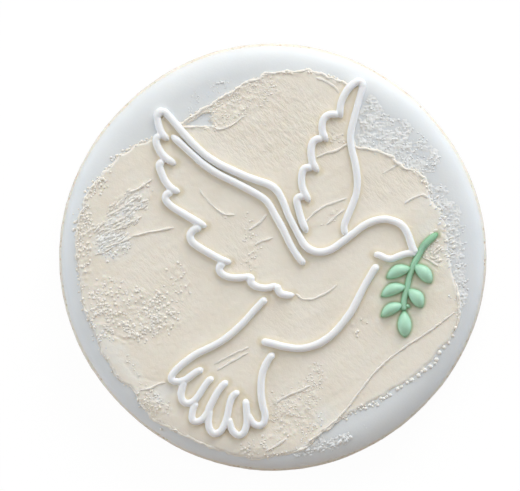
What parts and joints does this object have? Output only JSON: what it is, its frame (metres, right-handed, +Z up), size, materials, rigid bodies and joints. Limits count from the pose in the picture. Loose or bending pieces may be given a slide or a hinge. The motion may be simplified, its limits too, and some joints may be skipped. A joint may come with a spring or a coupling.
{
  "type": "iced sugar cookie",
  "caption": "Round sugar cookie under a domed coat of white icing with a scraped cream coat, a piped dove outline and a small green sprig.",
  "frame": {"origin": "middle of the flat underside of the biscuit", "axes": "+Z up through the thickness, +Y towards the top of the piped picture, +X to its right"},
  "size_m": [0.08, 0.08, 0.0115],
  "materials": {
    "biscuit": "matte baked dough",
    "white_icing": "satin set sugar icing",
    "cream_icing": "matte scraped sugar icing",
    "piped_icing": "satin set sugar icing",
    "green_icing": "satin set sugar icing"
  },
  "bodies": {
    "root": {"biscuit": "biscuit", "white_icing": "white_icing", "cream_icing": "cream_icing", "dove_outline": "piped_icing", "dove_near_wing": "piped_icing", "dove_tail": "piped_icing", "dove_wing_fold": "piped_icing", "dove_breast": "piped_icing", "sprig_stem": "green_icing", "sprig_leaf_1": "green_icing", "sprig_leaf_2": "green_icing", "sprig_leaf_3": "green_icing", "sprig_leaf_4": "green_icing", "sprig_leaf_5": "green_icing", "sprig_leaf_6": "green_icing", "sprig_bud": "green_icing"}
  },
  "joints": []
}
